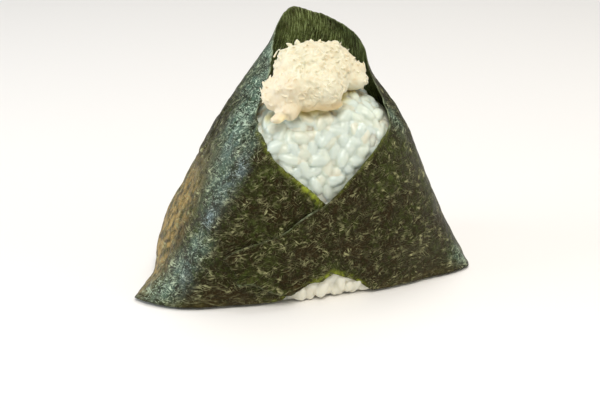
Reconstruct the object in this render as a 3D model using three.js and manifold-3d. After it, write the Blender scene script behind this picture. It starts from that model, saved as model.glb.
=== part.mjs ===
// A triangular rice ball in one sheet of nori, open at the front, with tuna mayonnaise under the hood.
// Millimetres, +Z up, +Y towards the back. The origin is under the middle, on the face it rests on.
// A turn is an angle in degrees round the upright axis: 0 at the front, 90 at the left, 270 at the right.
import * as THREE from "three";
import { mergeVertices } from "three/addons/utils/BufferGeometryUtils.js";
import Module from "manifold-3d";

const wasm = await Module();
wasm.setup();

// How far the rice reaches to the left and right of the origin, as [height, reach] pairs
const leftReach = [[0, 46], [9, 46], [19, 43], [31, 36.6], [46, 28.3], [61, 18.4], [73, 9.2], [86, 1.5]];
const rightReach = [
  [0, 53.3], [7, 50.4], [31, 40], [46, 34.4], [53, 31], [58, 28.2], [67, 23.4], [77, 20.4], [86, 13],
];

// The rest of the rice's shape
const frontReach = 25.8;
const frontLean = 0.0022;
const backReach = 25.8;
const backLean = 0.07;
const squarenessAtBase = 3.5;
const squarenessLoss = 0.012;
const riceTop = 64;
const domeStart = 46;
const domePower = 2.3;
const footHeight = 6;
const footTuck = 0.025;
const ringSteps = 52;
const coreHeights = [0, 1.2, 3, 6, 11, 17, 24, 31, 38, 43, 46, 49.5, 53, 56.3, 59, 61.2, 62.8, 63.6];

// The nori sheet, wrapped once round with its right flap over its left flap
const sheetThickness = 0.8;
const sheetGap = 0.6;
const flapLift = 1.25;
const liftTurns = [300, 338];
const leftFlapEnd = -14;
const rightFlapEndLow = 408.5;
const rightFlapEndHigh = 414;
const waveHeight = 0.35;
const sheetColumns = 88;
const sheetRows = 15;
const clearance = 0.3;

// Height of the sheet's upper edge, as [turn, height]: down both sides of the opening, up over the hood
const upperEdge = [
  [-14, 25], [4, 33], [18, 38.6], [29, 42.4], [38, 45.8], [45, 49.2], [53.5, 54], [61.5, 56], [64.5, 57.4],
  [70, 61], [78, 64.6], [88, 68], [106, 71.5], [133, 77], [170, 83.7], [190, 81.8], [215, 79], [235, 76.4],
  [255, 71.8], [270, 68], [285, 64.3], [295, 61], [301, 58], [304.5, 55.8], [308, 54], [316, 51.9],
  [333, 45.6], [350, 38.6], [363, 33.2], [371, 31.6], [380, 29.2], [391, 24.9], [401, 22.7],
  [410, 20.6], [414, 18],
];

// Height of its lower edge, with the arch at the bottom of the front
const hemHeight = 1.2;
const lowerEdge = [
  [-14, 13], [4, 12.6], [19, 9], [28, 5], [36, 2.6], [44, hemHeight], [335, hemHeight], [339, 3],
  [343, 5.2], [350, 7.3], [355.5, 8.8], [359, 9.3], [364, 8.4], [367, 7.4], [374, 7.2], [383, 5.4],
  [389, 4.7], [393, 5.5], [398, 7.2], [402, 9.6], [409, 9.4], [414, 10.5],
];

// How far the sheet leans in at its upper edge, beside the opening, as [turn, lean]: it starts a little below
const inwardLean = [
  [40, 0], [56, 1], [64, 1.9], [72, 2.5], [82, 3], [96, 3], [115, 2], [133, 1], [150, 0],
  [250, 0], [272, 2], [285, 2.5], [296, 2.4], [304, 1.6], [316, 0.4], [330, 0],
];
const leanFall = 9;

// The bottom corners of the sheet stand out as pinched ears
const ears = [
  { turn: 80.5, reach: 17.3, fall: 4.2, ahead: 27, behind: 22, power: 1.25 },
  { turn: 292, reach: 6.2, fall: 6, ahead: 16, behind: 20, power: 1.3 },
];

// Cooked grains that show in the opening and in the arch
const grainLength = 6.4;
const grainWidth = 3.7;
const grainSpacing = 3.25;
const grainTries = 4200;
const grainSunk = 0.35;
const archTop = 14;
const archGrainsOut = 0.9;
const grainSeed = 7;
const grainTurns = [-78, 78];
const grainHeights = [2, 62];
const edgeMargin = 1.5;
const grainSides = 6;
const grainRows = 4;
const grainRoll = 30;
const grainTip = 50;
const largestGrain = 1.08;
const lossOverTries = 0.2;
const lossByChance = 0.12;
const lowestGrain = 0.1;

// The spoonful of tuna mayonnaise, as soft lobes round one middle
const spoonMiddle = [1.5, -7, 66];
const lobes = [
  { at: [2, -3, 68.7], reach: [13.4, 9.5, 9.4] },
  { at: [-2, -12, 66.4], reach: [12.8, 7.5, 6.2] },
  { at: [15.2, -4, 67], reach: [4.8, 6, 4.6] },
  { at: [-11.5, -14.8, 62.4], reach: [4.2, 4.6, 4.6] },
];
const crumbHeight = 0.55;
const farthestLobe = 40;
const lobeFit = 0.01;
const spoonSteps = [34, 20];

const degree = Math.PI / 180;

// A smooth curve through [place, value] pairs, read at one place
function follow(pairs, place) {
  const last = pairs.length - 1;
  if (place <= pairs[0][0]) return pairs[0][1];
  if (place >= pairs[last][0]) return pairs[last][1];
  const next = pairs.findIndex((pair) => place < pair[0]);
  const [from, to] = [pairs[next - 1], pairs[next]];
  const span = to[0] - from[0];
  const slope = (k) => {
    const [a, b] = [pairs[Math.max(k - 1, 0)], pairs[Math.min(k + 1, last)]];
    return (b[1] - a[1]) / (b[0] - a[0]);
  };
  const t = (place - from[0]) / span;
  const rise = to[1] - from[1];
  const [startSlope, endSlope] = [slope(next - 1) * span, slope(next) * span];
  const ease = t * t * (3 - 2 * t);
  return from[1] + rise * ease + startSlope * t * (1 - t) ** 2 - endSlope * t * t * (1 - t);
}

function clamp01(value) {
  return Math.min(1, Math.max(0, value));
}

// The axis leans a little, so it is in the middle of every level
function axisX(z) {
  return (follow(rightReach, z) - follow(leftReach, z)) / 2;
}

// Radius of the pressed block of rice, before its top closes
function blockRadius(turn, z) {
  const halfWidth = (follow(rightReach, z) + follow(leftReach, z)) / 2;
  const side = Math.abs(Math.sin(turn * degree));
  const facing = Math.cos(turn * degree);
  const depth = facing > 0 ? frontReach - frontLean * z * z : backReach - backLean * z;
  const power = squarenessAtBase - squarenessLoss * z;
  const radius = ((side / halfWidth) ** power + (Math.abs(facing) / depth) ** power) ** (-1 / power);
  return radius * (1 - footTuck * clamp01(1 - z / footHeight) ** 2);
}

// The ears taper off upwards and to both sides of their turn
function earReach(turn, z) {
  let reach = 0;
  for (const ear of ears) {
    const side = ((((turn - ear.turn) % 360) + 540) % 360) - 180;
    const aheadOf = ear.turn < 180 ? side < 0 : side > 0;
    const spread = aheadOf ? ear.ahead : ear.behind;
    reach += ear.reach * Math.exp(-z / ear.fall) * clamp01(1 - Math.abs(side) / spread) ** ear.power;
  }
  return reach;
}

function place(turn, radius, z) {
  return [axisX(z) - radius * Math.sin(turn * degree), -radius * Math.cos(turn * degree), z];
}

// A soft swell without repeats near each other, between 0 and 1
function swell(turn, z) {
  const a = Math.sin(turn * 0.11 + z * 0.05);
  const b = Math.sin(turn * 0.047 - z * 0.19 + 1.3);
  const c = Math.sin(turn * 0.23 + z * 0.11 + 4.1);
  return clamp01(0.5 + 0.25 * a + 0.2 * b + 0.12 * c);
}

// A geometry from points and triangles, turned so that its faces point out
function closedGeometry(points, triangles) {
  const corner = points.map((point) => new THREE.Vector3(...point));
  const volume = triangles.reduce(
    (sum, [a, b, c]) => sum + corner[a].dot(corner[b].clone().cross(corner[c])), 0);
  const index = volume > 0 ? triangles : triangles.map(([a, b, c]) => [a, c, b]);
  const geometry = new THREE.BufferGeometry();
  geometry.setAttribute("position", new THREE.Float32BufferAttribute(points.flat(), 3));
  geometry.setIndex(index.flat());
  return geometry;
}

function toSolid(geometry) {
  const bare = geometry.clone();
  bare.deleteAttribute("normal");
  bare.deleteAttribute("uv");
  const merged = mergeVertices(bare, 1e-4);
  const vertProperties = new Float32Array(merged.attributes.position.array);
  const triVerts = new Uint32Array(merged.index.array);
  return new wasm.Manifold(new wasm.Mesh({ numProp: 3, vertProperties, triVerts }));
}

function toGeometry(solid) {
  const mesh = solid.getMesh();
  const geometry = new THREE.BufferGeometry();
  geometry.setAttribute("position", new THREE.BufferAttribute(new Float32Array(mesh.vertProperties), 3));
  geometry.setIndex(new THREE.BufferAttribute(new Uint32Array(mesh.triVerts), 1));
  return geometry;
}

// A stack of closed rings with a point at each end: levels give height and how far the ring draws in
function ringStack(levels, radiusAt) {
  const steps = ringSteps;
  const points = [];
  const triangles = [];
  for (const level of levels) {
    for (let i = 0; i < steps; i++) {
      const turn = (360 * i) / steps;
      points.push(place(turn, radiusAt(turn, level.z) * level.drawn, level.z));
    }
  }
  for (let k = 0; k + 1 < levels.length; k++) {
    for (let i = 0; i < steps; i++) {
      const a = k * steps + i;
      const b = k * steps + ((i + 1) % steps);
      triangles.push([a, b, b + steps], [a, b + steps, a + steps]);
    }
  }
  const bottom = points.push([axisX(levels[0].z), 0, levels[0].z]) - 1;
  const lastLevel = levels[levels.length - 1];
  const top = points.push([axisX(lastLevel.z), 0, lastLevel.z]) - 1;
  const lastRing = (levels.length - 1) * steps;
  for (let i = 0; i < steps; i++) {
    const j = (i + 1) % steps;
    triangles.push([bottom, j, i], [top, lastRing + i, lastRing + j]);
  }
  return closedGeometry(points, triangles);
}

// How far the rounded top of the rice has drawn in at a height
function domeDraw(z) {
  const rise = clamp01((z - domeStart) / (riceTop - domeStart));
  return (1 - rise ** domePower) ** (1 / domePower);
}

// The bare block of rice, or the room that it needs when it is grown a little
function riceCore(grownBy) {
  const levels = coreHeights.map((z) => ({ z: z > domeStart ? z + grownBy : z, drawn: domeDraw(z) }));
  return ringStack(levels, (turn, z) => blockRadius(turn, z) + grownBy);
}

// How far a face of the sheet stands from the axis, in front of the rice's own radius
function sheetRadius(turn, z) {
  const lift = flapLift * THREE.MathUtils.smoothstep(turn, ...liftTurns);
  const edge = follow(upperEdge, turn);
  const lean = follow(inwardLean, turn) * THREE.MathUtils.smoothstep(z, edge - leanFall, edge);
  return blockRadius(turn, z) + earReach(turn, z) + lift + waveHeight * swell(turn % 360, z) - lean;
}

// One wrapped sheet: both faces have the same columns and rows, and a rim joins them
function noriSheet(innerFace, outerFace) {
  const [columns, rows] = [sheetColumns, sheetRows];
  const points = [];
  const triangles = [];
  for (const face of [innerFace, outerFace]) {
    for (let k = 0; k <= rows; k++) {
      const up = k / rows;
      const lastTurn = THREE.MathUtils.lerp(rightFlapEndLow, rightFlapEndHigh, up);
      for (let i = 0; i <= columns; i++) {
        const turn = THREE.MathUtils.lerp(leftFlapEnd, lastTurn, i / columns);
        const z = THREE.MathUtils.lerp(follow(lowerEdge, turn), follow(upperEdge, turn), up);
        points.push(place(turn, sheetRadius(turn, z) + face, z));
      }
    }
  }
  const wide = columns + 1;
  const outerStart = wide * (rows + 1);
  for (let k = 0; k < rows; k++) {
    for (let i = 0; i < columns; i++) {
      const a = k * wide + i;
      const [b, c, d] = [a + 1, a + wide + 1, a + wide];
      triangles.push([a, c, b], [a, d, c]);
      triangles.push([a, b, c].map((v) => v + outerStart), [a, c, d].map((v) => v + outerStart));
    }
  }
  const rim = [];
  for (let i = 0; i < columns; i++) rim.push(i);
  for (let k = 0; k < rows; k++) rim.push(k * wide + columns);
  for (let i = columns; i > 0; i--) rim.push(rows * wide + i);
  for (let k = rows; k > 0; k--) rim.push(k * wide);
  rim.forEach((a, n) => {
    const b = rim[(n + 1) % rim.length];
    triangles.push([a, b, b + outerStart], [a, b + outerStart, a + outerStart]);
  });
  return closedGeometry(points, triangles);
}

// Numbers between 0 and 1 in an order fixed by the seed
function seededNumbers(seed) {
  let state = seed;
  return () => {
    state = (state * 1664525 + 1013904223) % 4294967296;
    return state / 4294967296;
  };
}

// True where the bare rice shows between the sheet's edges
function riceShows(angle, z) {
  const cover = [angle, angle + 360].filter((turn) => turn >= leftFlapEnd && turn <= rightFlapEndHigh);
  const covered = cover.some(
    (turn) => z < follow(upperEdge, turn) + edgeMargin && z > follow(lowerEdge, turn) - edgeMargin);
  return cover.length > 0 && !covered;
}

// Grains lie on the bare rice, the largest first, and none comes closer to another than the spacing
function showingGrains(keptClear) {
  const draw = seededNumbers(grainSeed);
  const middles = [];
  const grains = [];
  for (let n = 0; n < grainTries; n++) {
    const angle = THREE.MathUtils.lerp(...grainTurns, draw());
    const z = THREE.MathUtils.lerp(...grainHeights, draw());
    const [spin, tip, size] = [draw() * 180, draw() - 0.5, draw()];
    if (!riceShows(angle, z)) continue;
    const radius = blockRadius(angle, z) * domeDraw(z) + (z < archTop ? archGrainsOut : -grainSunk);
    const middle = new THREE.Vector3(...place(angle, radius, z));
    if (middles.some((other) => other.distanceTo(middle) < grainSpacing)) continue;
    const scale = largestGrain - lossOverTries * (n / grainTries) - lossByChance * size;
    const grain = new THREE.SphereGeometry(0.5, grainSides, grainRows);
    grain.scale(grainWidth * scale, grainLength * scale, grainWidth * scale);
    grain.rotateY(grainRoll * degree);
    grain.rotateX(tip * grainTip * degree);
    grain.rotateZ(spin * degree);
    grain.rotateX(90 * degree);
    grain.rotateZ(-angle * degree);
    grain.translate(middle.x, middle.y, middle.z);
    grain.computeBoundingBox();
    if (grain.boundingBox.min.z < lowestGrain) continue;
    const solid = toSolid(grain);
    if (keptClear.some((room) => !solid.intersect(room).isEmpty())) continue;
    middles.push(middle);
    grains.push(solid);
  }
  return grains;
}

// Fine crags of flaked tuna
function crumbs(x, y, z) {
  const a = Math.sin(x * 1.9 + y * 0.7) * Math.sin(z * 1.7 - x * 0.4);
  const b = Math.sin(x * 0.8 - z * 1.1 + 2.1) * Math.sin(y * 1.3 + z * 0.6 + 0.5);
  return crumbHeight * (a + b);
}

// The lobes melt together: their surface is where the sum of their pulls is one
function spoonful(grownBy) {
  const geometry = new THREE.SphereGeometry(1, ...spoonSteps);
  geometry.rotateX(90 * degree);
  const position = geometry.attributes.position;
  const direction = new THREE.Vector3();
  const pull = (point) => lobes.reduce((sum, lobe) => {
    const far = lobe.at.reduce((total, middle, k) => total + ((point[k] - middle) / lobe.reach[k]) ** 2, 0);
    return sum + Math.exp(3 * (1 - far));
  }, 0);
  for (let i = 0; i < position.count; i++) {
    direction.fromBufferAttribute(position, i).normalize();
    let [near, far] = [0, farthestLobe];
    while (far - near > lobeFit) {
      const middle = (near + far) / 2;
      const point = spoonMiddle.map((value, k) => value + middle * direction.getComponent(k));
      if (pull(point) > 1) near = middle;
      else far = middle;
    }
    const [x, y, z] = spoonMiddle.map((value, k) => value + near * direction.getComponent(k));
    direction.multiplyScalar(near + grownBy + crumbs(x, y, z));
    position.setXYZ(i, ...spoonMiddle.map((value, k) => value + direction.getComponent(k)));
  }
  return geometry;
}

function food(name, geometry, color, roughness) {
  const material = new THREE.MeshStandardMaterial({ color, roughness, metalness: 0 });
  const mesh = new THREE.Mesh(geometry, material);
  mesh.name = name;
  return mesh;
}

// The largest of the bodies that a cut leaves
function largestBody(solid) {
  return solid.decompose().reduce((best, body) => (body.volume() > best.volume() ? body : best));
}

const clearOfSheet = toSolid(noriSheet(sheetGap - clearance, sheetGap + sheetThickness + clearance));
const clearOfSpoon = toSolid(spoonful(clearance));
const spoonLeft = toSolid(spoonful(0)).subtract(toSolid(riceCore(clearance))).subtract(clearOfSheet);
const grains = showingGrains([clearOfSheet, clearOfSpoon]);
const rice = grains.reduce((sum, grain) => sum.add(grain), toSolid(riceCore(0)));

const riceBall = new THREE.Group();
riceBall.add(food("rice", toGeometry(rice), 0xe8ebe6, 0.35));
riceBall.add(food("nori", noriSheet(sheetGap, sheetGap + sheetThickness), 0x202b18, 0.5));
riceBall.add(food("tuna_mayonnaise", toGeometry(largestBody(spoonLeft)), 0xead9b8, 0.45));

export default riceBall;
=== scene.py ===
import itertools
import math

import bpy
import numpy as np
from mathutils import Matrix
from mathutils.kdtree import KDTree


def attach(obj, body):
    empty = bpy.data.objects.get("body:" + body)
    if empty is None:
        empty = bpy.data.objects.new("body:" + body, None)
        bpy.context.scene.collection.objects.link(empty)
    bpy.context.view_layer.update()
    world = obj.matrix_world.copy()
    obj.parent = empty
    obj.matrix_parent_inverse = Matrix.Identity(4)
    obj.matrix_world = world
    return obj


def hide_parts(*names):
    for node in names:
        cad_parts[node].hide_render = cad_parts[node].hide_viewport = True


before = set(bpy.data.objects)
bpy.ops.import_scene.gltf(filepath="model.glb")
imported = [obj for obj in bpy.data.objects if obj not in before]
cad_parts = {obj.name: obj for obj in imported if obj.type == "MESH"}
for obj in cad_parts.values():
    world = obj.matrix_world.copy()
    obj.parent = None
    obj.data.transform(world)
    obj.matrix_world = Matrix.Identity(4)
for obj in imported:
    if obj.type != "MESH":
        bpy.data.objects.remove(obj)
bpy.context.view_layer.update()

mm = 0.001  # shapes are worked out in millimetres and made in metres


# The camera stands where the photo's did, from the way its round shapes foreshorten
view = {
    "place": (-101.3, -320.3, 174.8),  # mm
    "heading": 17.5,  # degrees from +Y towards +X
    "pitch": 24.49,  # degrees down
    "roll": 0.49,
    "lens": 66.0,
    "sensor": 36.0,
}


def makeCamera():
    heading, pitch, roll = (math.radians(view[k]) for k in ("heading", "pitch", "roll"))
    right = np.array([math.cos(heading), -math.sin(heading), 0.0])
    level = np.array([math.sin(heading), math.cos(heading), 0.0])
    ahead = level * math.cos(pitch) + np.array([0.0, 0.0, -math.sin(pitch)])
    up = np.cross(right, ahead)
    turnedRight = math.cos(roll) * right + math.sin(roll) * up
    turnedUp = math.cos(roll) * up - math.sin(roll) * right
    data = bpy.data.cameras.new("photoCamera")
    data.lens = view["lens"]
    data.sensor_width = view["sensor"]
    data.clip_start = 0.01
    data.clip_end = 20.0
    camera = bpy.data.objects.new("photoCamera", data)
    bpy.context.scene.collection.objects.link(camera)
    world = Matrix(np.array([turnedRight, turnedUp, -ahead]).T.tolist()).to_4x4()
    world.translation = [v * mm for v in view["place"]]
    camera.matrix_world = world
    bpy.context.scene.camera = camera


makeCamera()
print("camera set")


# Shared tools for shapes
def follow(pairs, places):
    # a smooth curve through [place, value] pairs, read at many places
    known = np.array(pairs, float)
    x, y = known[:, 0], known[:, 1]
    at = np.clip(np.asarray(places, float), x[0], x[-1])
    slopes = np.empty(len(x))
    slopes[1:-1] = (y[2:] - y[:-2]) / (x[2:] - x[:-2])
    slopes[0] = (y[1] - y[0]) / (x[1] - x[0])
    slopes[-1] = (y[-1] - y[-2]) / (x[-1] - x[-2])
    i = np.clip(np.searchsorted(x, at, side="right") - 1, 0, len(x) - 2)
    span = x[i + 1] - x[i]
    t = (at - x[i]) / span
    ease = t * t * (3 - 2 * t)
    swing = slopes[i] * t * (1 - t) ** 2 - slopes[i + 1] * t * t * (1 - t)
    return y[i] + (y[i + 1] - y[i]) * ease + span * swing


def smoothStep(low, high, values):
    t = np.clip((np.asarray(values, float) - low) / (high - low), 0, 1)
    return t * t * (3 - 2 * t)


def between(window, values):
    # 1 between the middle two of four places, falling to 0 at the outer two
    start, full, ending, end = window
    return smoothStep(start, full, values) * smoothStep(end, ending, values)


def unit(vectors):
    return vectors / np.linalg.norm(vectors, axis=-1, keepdims=True)


def noise(points, size, seed):
    # smooth random values from -1 to 1, with lumps about size mm across
    p = np.asarray(points, float) / size + 57.31
    cell = np.floor(p).astype(np.int64)
    f = p - cell
    f = f * f * f * (f * (f * 6 - 15) + 10)
    total = np.zeros(p.shape[:-1])
    for corner in itertools.product((0, 1), repeat=3):
        c = cell + np.array(corner)
        n = c[..., 0] * 374761393 + c[..., 1] * 668265263 + c[..., 2] * 1274126177 + seed * 974634777
        n = (n ^ (n >> 13)) * 1103515245
        n = (n ^ (n >> 16)) & 0xFFFF
        weight = np.prod(np.where(np.array(corner) == 1, f, 1 - f), axis=-1)
        total += weight * (n / 32767.5 - 1)
    return total


def addAttribute(mesh, name, values):
    # one value for each point, or one vector
    values = np.asarray(values, np.float32)
    kind, field = ("FLOAT", "value") if values.ndim == 1 else ("FLOAT_VECTOR", "vector")
    mesh.attributes.new(name, kind, "POINT").data.foreach_set(field, values.ravel())


def makePiece(name, points, faces, attributes=None):
    # a smooth mesh from points in mm
    mesh = bpy.data.meshes.new(name)
    mesh.from_pydata((np.asarray(points) * mm).tolist(), [], faces)
    mesh.polygons.foreach_set("use_smooth", np.ones(len(mesh.polygons), bool))
    for key, values in (attributes or {}).items():
        addAttribute(mesh, key, values)
    mesh.update()
    piece = bpy.data.objects.new(name, mesh)
    bpy.context.scene.collection.objects.link(piece)
    return piece


def joinParts(parts):
    # one list of points and one of faces, from many parts that each have both
    starts = np.cumsum([0] + [len(points) for points, _ in parts[:-1]]).tolist()
    faces = [[i + start for i in face] for start, (_, part) in zip(starts, parts) for face in part]
    return np.concatenate([points for points, _ in parts]), faces


def fuse(piece, fineness, soften):
    # parts that stick together become one softened skin; gives back its points in mm
    fused = piece.modifiers.new("fused", "REMESH")
    fused.mode = "VOXEL"
    fused.voxel_size = fineness * mm
    softened = piece.modifiers.new("softened", "SMOOTH")
    softened.iterations = soften
    skin = bpy.data.meshes.new_from_object(piece.evaluated_get(bpy.context.evaluated_depsgraph_get()))
    piece.modifiers.clear()
    piece.data = skin
    skin.polygons.foreach_set("use_smooth", np.ones(len(skin.polygons), bool))
    points = np.empty(len(skin.vertices) * 3)
    skin.vertices.foreach_get("co", points)
    print(piece.name, "fused to", len(skin.polygons), "faces")
    return points.reshape(-1, 3) / mm


def gridFaces(rows, columns, start=0, closed=False, flip=False):
    # quads between the points of a grid that has rows by columns points
    across = columns if closed else columns - 1
    r, c = np.meshgrid(np.arange(rows - 1), np.arange(across), indexing="ij")
    a = (r * columns + c).ravel() + start
    b = (r * columns + (c + 1) % columns).ravel() + start
    quads = np.stack([a, b, b + columns, a + columns], axis=1)
    return (quads[:, ::-1] if flip else quads).tolist()


# The body that rice and nori share. A turn is 0 at the front, 90 at the left and 270 at the right
body = {
    "leftReach": [[0, 46], [9, 46], [19, 43], [31, 36.6], [46, 28.3], [61, 18.4], [73, 9.2], [86, 1.5]],
    "rightReach": [
        [0, 53.3], [7, 50.4], [31, 40], [46, 34.4], [53, 31], [58, 28.2], [67, 23.4], [77, 20.4], [86, 13],
    ],
    "frontReach": 25.8,
    "frontLean": 0.0022,
    "backReach": 25.8,
    "backLean": 0.07,
    "squareness": 3.5,
    "squarenessLoss": 0.012,
    "top": 64.0,
    "domeStart": 46.0,
    "domePower": 2.3,
    "footHeight": 6.0,
    "footTuck": 0.025,
}


def axisX(z):
    return (follow(body["rightReach"], z) - follow(body["leftReach"], z)) / 2


def blockRadius(turn, z):
    halfWidth = (follow(body["rightReach"], z) + follow(body["leftReach"], z)) / 2
    side = np.abs(np.sin(np.radians(turn)))
    facing = np.cos(np.radians(turn))
    front = body["frontReach"] - body["frontLean"] * z * z
    back = body["backReach"] - body["backLean"] * z
    depth = np.where(facing > 0, front, back)
    power = body["squareness"] - body["squarenessLoss"] * z
    radius = ((side / halfWidth) ** power + (np.abs(facing) / depth) ** power) ** (-1 / power)
    return radius * (1 - body["footTuck"] * np.clip(1 - z / body["footHeight"], 0, 1) ** 2)


def domeDraw(z):
    rise = np.clip((z - body["domeStart"]) / (body["top"] - body["domeStart"]), 0, 1)
    return (1 - rise ** body["domePower"]) ** (1 / body["domePower"])


def placeAt(turn, radius, z):
    angle = np.radians(turn)
    return np.stack([axisX(z) - radius * np.sin(angle), -radius * np.cos(angle), z + 0 * turn], axis=-1)


def turnAndRadius(points):
    x = points[..., 0] - axisX(points[..., 2])
    return np.degrees(np.arctan2(-x, -points[..., 1])), np.hypot(x, points[..., 1])


# The nori: one sheet wrapped once round, its right flap over its left
sheet = {
    "thickness": 0.28,
    "gap": 0.95,  # from the rice
    "flapLift": 0.9,  # how far the right flap stands off the left one
    "liftTurns": (300, 338),
    "leftEnd": -14.0,
    "rightEnd": (408.5, 414.0),  # at the bottom and at the top of the flap
    "upperEdge": [
        [-14, 25], [4, 33], [18, 38.6], [29, 42.4], [38, 45.8], [45, 49.2], [53.5, 54], [61.5, 56],
        [64.5, 57.4], [70, 61], [78, 64.6], [88, 68], [106, 71.5], [133, 77], [170, 83.7], [190, 81.8],
        [215, 79], [235, 76.4], [255, 71.8], [270, 68], [285, 64.3], [295, 61], [301, 58], [304.5, 55.8],
        [308, 54], [316, 51.9], [333, 45.6], [350, 38.6], [363, 33.2], [371, 31.6], [380, 29.2],
        [391, 24.9], [401, 22.7], [410, 20.6], [414, 18],
    ],
    "lowerEdge": [
        [-14, 13], [4, 12.6], [19, 8.6], [28, 4.2], [34, 1.7], [38, 1.2], [44, 1.2], [335, 1.2], [339, 3],
        [343, 5.2], [350, 7.3], [355.5, 8.8], [359, 9.3], [364, 8.4], [367, 7.4], [374, 7.2], [383, 5.4],
        [389, 4.7], [393, 5.5], [398, 7.2], [402, 9.6], [409, 9.4], [414, 10.5],
    ],
    # how far it leans in at its upper edge beside the opening
    "inwardLean": [
        [40, 0], [56, 1], [64, 1.9], [72, 2.5], [82, 3], [96, 3], [115, 2], [133, 1], [150, 0],
        [250, 0], [272, 2], [285, 2.5], [296, 2.4], [304, 1.6], [316, 0.4], [330, 0],
    ],
    "leanFall": 9.0,
    "ears": [
        {"turn": 80.5, "reach": 17.3, "fall": 4.2, "ahead": 27, "behind": 22, "power": 1.25},
        {"turn": 292, "reach": 6.2, "fall": 6, "ahead": 16, "behind": 20, "power": 1.3},
    ],
    "columns": 430,
    "rows": 104,
    # size across and height, in mm: both flaps share the swells, and each has its own puckers
    "swells": [(24, 0.6), (11, 0.4)],
    "puckers": [(4.6, 0.2), (2.1, 0.11)],
    "lapPuckers": 0.45,  # how much of the puckers is left where the flaps lie on each other
    "sideFolds": {"apart": 2.3, "long": 16.0, "depth": 0.22, "turns": (70, 84, 110, 150)},
    # sharp folds, everywhere a little and most beside the left of the opening
    "crumple": {"size": 5.5, "depth": 0.5, "least": 0.25, "turns": (56, 66, 105, 125), "heights": (30, 44)},
    "ragged": 0.2,  # how far the cut edges wander
    "flapCurl": 0.9,  # how far the outer flap's end stands off
    "hemCurl": {"out": 2.1, "height": 2.4, "turns": (377, 388, 404, 416)},  # and its lower edge
    # where light comes through: how far from the edge in mm, between which turns, and how much
    "thinUpper": [
        {"fade": (3.6, 0.2), "turns": (5, 9, 18, 27), "strength": 1.0},
        {"fade": (2.2, 0.1), "turns": (16, 22, 54, 64), "strength": 0.4},
        {"fade": (2.0, 0.1), "turns": (304, 314, 352, 362), "strength": 0.3},
    ],
    "thinLower": [
        {"fade": (2.6, 0.2), "turns": (336, 344, 366, 384), "strength": 0.8},
        {"fade": (2.0, 0.3), "turns": (26, 31, 36, 42), "strength": 0.5},
    ],
    # the upper cut edge catches the light: how wide in mm, and between which turns
    "rimWidth": (0.8, 0.1),
    "rimHood": (58, 68, 140, 165),
    "rimFlap": (369, 374, 380, 394),
    # a painted tan reflection of a warm table on the left side: the turns where it lies, and the heights
    # where it starts and is full
    "tanReflectedSide": {"turns": (72, 88, 94, 122), "heights": (50, 28)},
    "brownHem": (6, 0.5),  # heights
    # creases as (turn, height) at both ends, with depth and half width in mm
    "creases": [
        {"from": (69, 68), "to": (79, 62), "depth": 1.3, "width": 0.9},
        {"from": (79, 62), "to": (77, 52), "depth": 1.4, "width": 0.9},
        {"from": (58, 61), "to": (69, 51), "depth": 1.1, "width": 0.8},
        {"from": (62, 54), "to": (80, 45), "depth": 0.7, "width": 1.0},
        {"from": (84, 24), "to": (80, 4), "depth": 0.5, "width": 1.5},
        {"from": (80, 61.5), "to": (118, 58.5), "depth": 1.1, "width": 1.7},
        {"from": (86, 45), "to": (112, 43), "depth": 0.5, "width": 2.0},
        {"from": (84, 33), "to": (108, 28), "depth": 0.4, "width": 2.4},
        {"from": (300, 60), "to": (292, 50), "depth": 0.6, "width": 1.3},
        {"from": (222, 66), "to": (238, 30), "depth": 0.5, "width": 1.6},
        {"from": (150, 40), "to": (132, 12), "depth": 0.45, "width": 1.6},
    ],
    "seed": 11,
    # greener and browner places, and the painted blue reflection and painted sheen: turn and height with the
    # reach of each
    "patches": {
        # a painted blue reflection of the window at the left
        "paintedBlueReflection": [
            (58, 45, 4, 4, 0.9), (62, 40, 4, 4, 0.5), (64.5, 33, 3, 4, 0.4), (65.5, 28.5, 3, 3, 1.0),
            (72, 49, 5, 5, 0.4), (68, 11, 3, 5, 0.5),
        ],
        # a painted teal sheen of the window light at the left
        "tealSheen": [
            (118, 74, 22, 7, 1.0), (95, 66, 12, 6, 1.0), (78, 64, 9, 6, 1.0), (72, 57, 10, 7, 0.9),
            (84, 54, 9, 5, 0.5), (70, 46, 9, 8, 0.6), (67, 36, 7, 7, 0.6), (66, 20, 5, 5, 0.9),
            (72, 12, 6, 5, 0.7), (76, 4, 7, 4, 0.9), (292, 5, 4, 4, 0.9), (300, 55, 6, 5, 0.8),
            (58, 52, 5, 5, 0.5),
        ],
        "green": [
            (52, 51, 5, 4, 0.8), (42, 45, 6, 4, 0.8), (30, 40, 8, 3, 0.9), (12, 35, 9, 3, 1.0),
            (323, 45, 8, 5, 1.0), (316, 40, 8, 7, 0.9), (329, 35, 6, 5, 0.7), (314, 51, 5, 4, 0.8),
            (2, 12, 10, 3, 0.8), (347, 9.5, 6, 3, 0.8), (55, 31, 4, 4, 0.5), (43, 23, 5, 3, 0.4),
            (170, 78, 22, 6, 0.8),
        ],
        "brown": [
            (40, 33, 7, 3, 0.6), (2, 26, 12, 4, 0.9), (345, 18, 14, 6, 0.9), (10, 17, 12, 5, 0.7),
            (308, 11, 10, 6, 0.8), (320, 6, 10, 4, 0.7), (302, 4, 8, 4, 0.6), (60, 5, 12, 4, 0.8),
            (52, 4.5, 9, 3, 0.8), (58, 12, 6, 4, 0.5),
        ],
        # a painted grey-green sheen
        "greySheen": [
            (86, 43, 10, 8, 0.9), (74, 40, 6, 8, 0.5), (302, 45, 7, 8, 0.7), (292, 31, 8, 11, 0.8),
            (306, 10, 12, 6, 0.5), (225, 70, 20, 6, 0.5),
        ],
    },
}


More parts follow.
